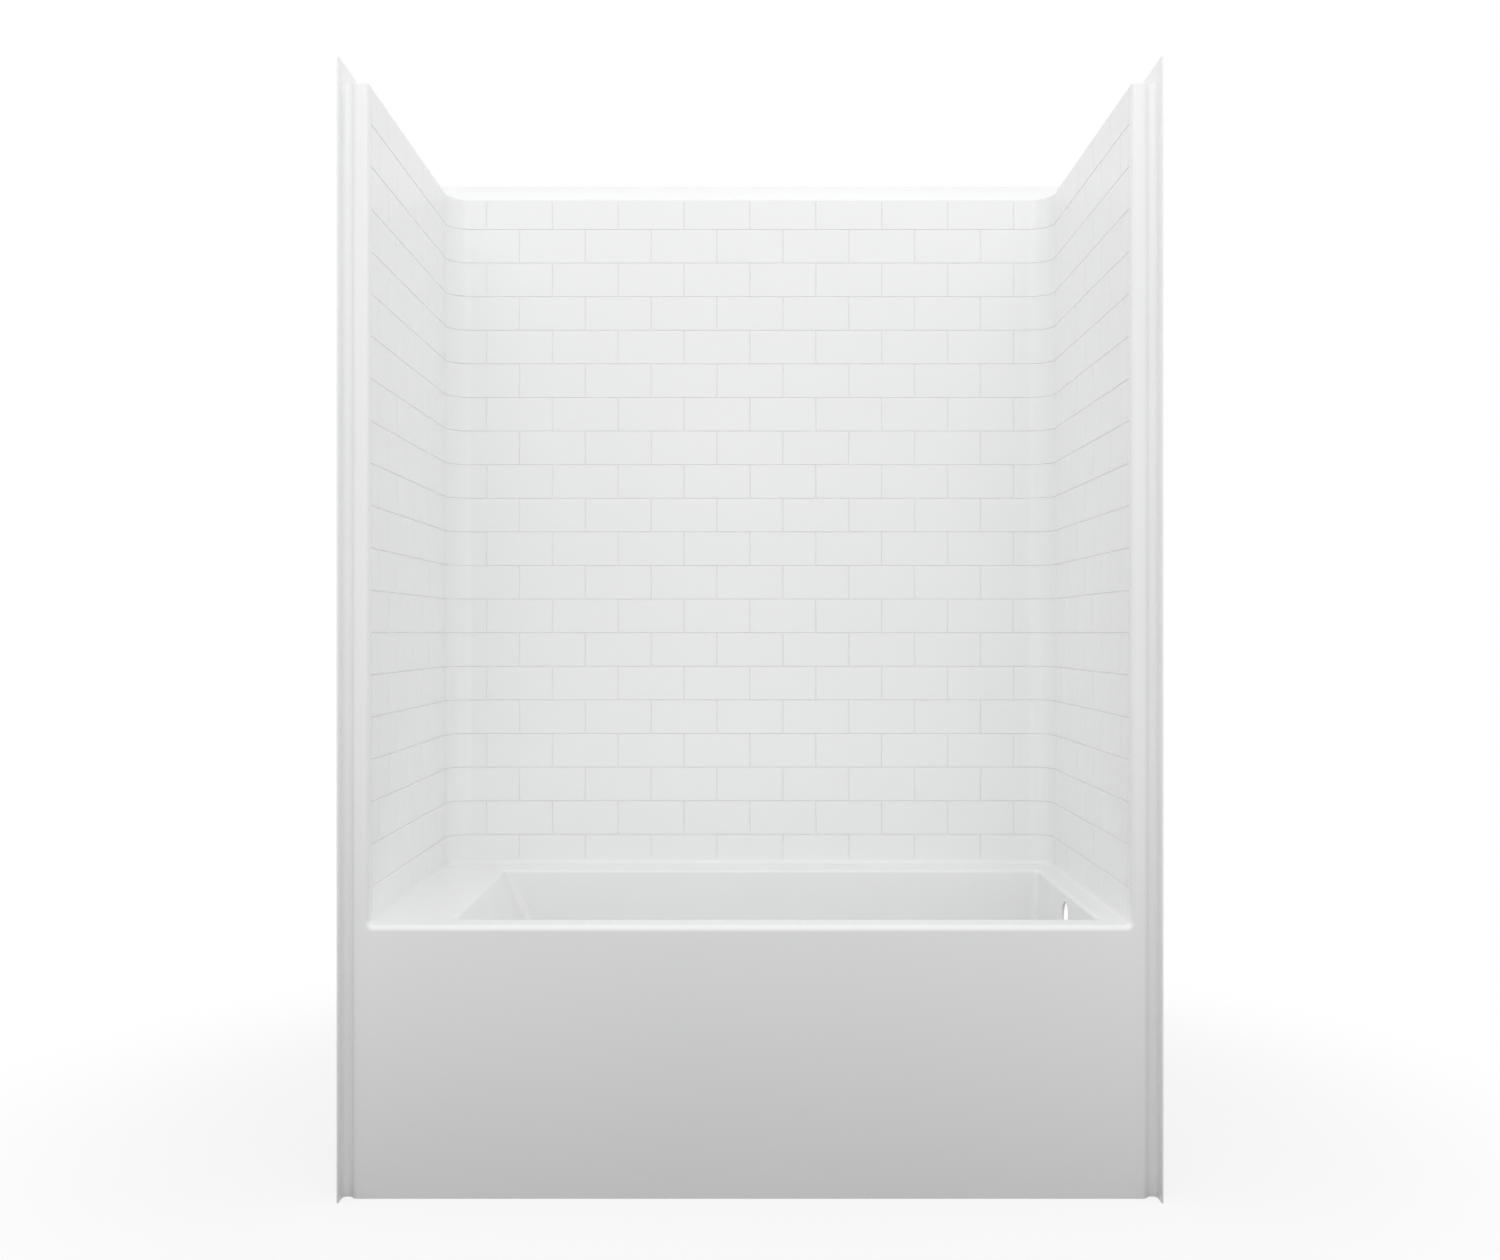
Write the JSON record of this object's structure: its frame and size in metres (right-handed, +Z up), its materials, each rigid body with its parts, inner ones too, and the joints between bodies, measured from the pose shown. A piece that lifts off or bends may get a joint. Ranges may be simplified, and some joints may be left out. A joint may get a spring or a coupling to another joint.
{
  "type": "tub and shower unit",
  "caption": "Glossy white alcove bathtub with moulded tile-pattern shower walls, a sloped backrest, a plain apron, bare drain and overflow holes, and nailing flanges.",
  "frame": {"origin": "on the ground, midway between the side flanges and midway from the front edge of the side flanges to the back flange", "axes": "+Z up, +X to the right as seen from the front, the open front and the apron face -Y"},
  "size_m": [1.524, 0.845, 2.115],
  "materials": {
    "gelcoat": "glossy white moulded face",
    "laminate": "rough glass-fibre back of the moulding",
    "timber": "sawn softwood",
    "board": "sanded plywood"
  },
  "bodies": {
    "root": {"basin_floor": "gelcoat", "basin_backrest": "gelcoat", "basin_drain_end": "gelcoat", "basin_front": "gelcoat", "basin_back": "gelcoat", "tub_deck": "gelcoat", "left_deck_cove": "gelcoat", "right_deck_cove": "gelcoat", "back_deck_cove": "gelcoat", "rim_roll": "gelcoat", "apron": "gelcoat", "left_column": "gelcoat", "right_column": "gelcoat", "left_wall": "gelcoat", "right_wall": "gelcoat", "back_wall": "gelcoat", "left_corner": "gelcoat", "right_corner": "gelcoat", "left_ledge": "gelcoat", "right_ledge": "gelcoat", "back_ledge": "gelcoat", "left_front_flange": "gelcoat", "right_front_flange": "gelcoat", "left_top_flange": "gelcoat", "right_top_flange": "gelcoat", "back_top_flange": "gelcoat", "cross_bearers": "timber", "floor_runners": "timber", "apron_sill": "timber", "apron_ribs": "timber", "back_deck_rail": "timber", "left_deck_rail": "timber", "back_wall_battens": "timber", "left_wall_battens": "timber", "right_wall_battens": "timber", "floor_board": "board", "drain_pad": "board", "valve_board": "board"}
  },
  "joints": []
}
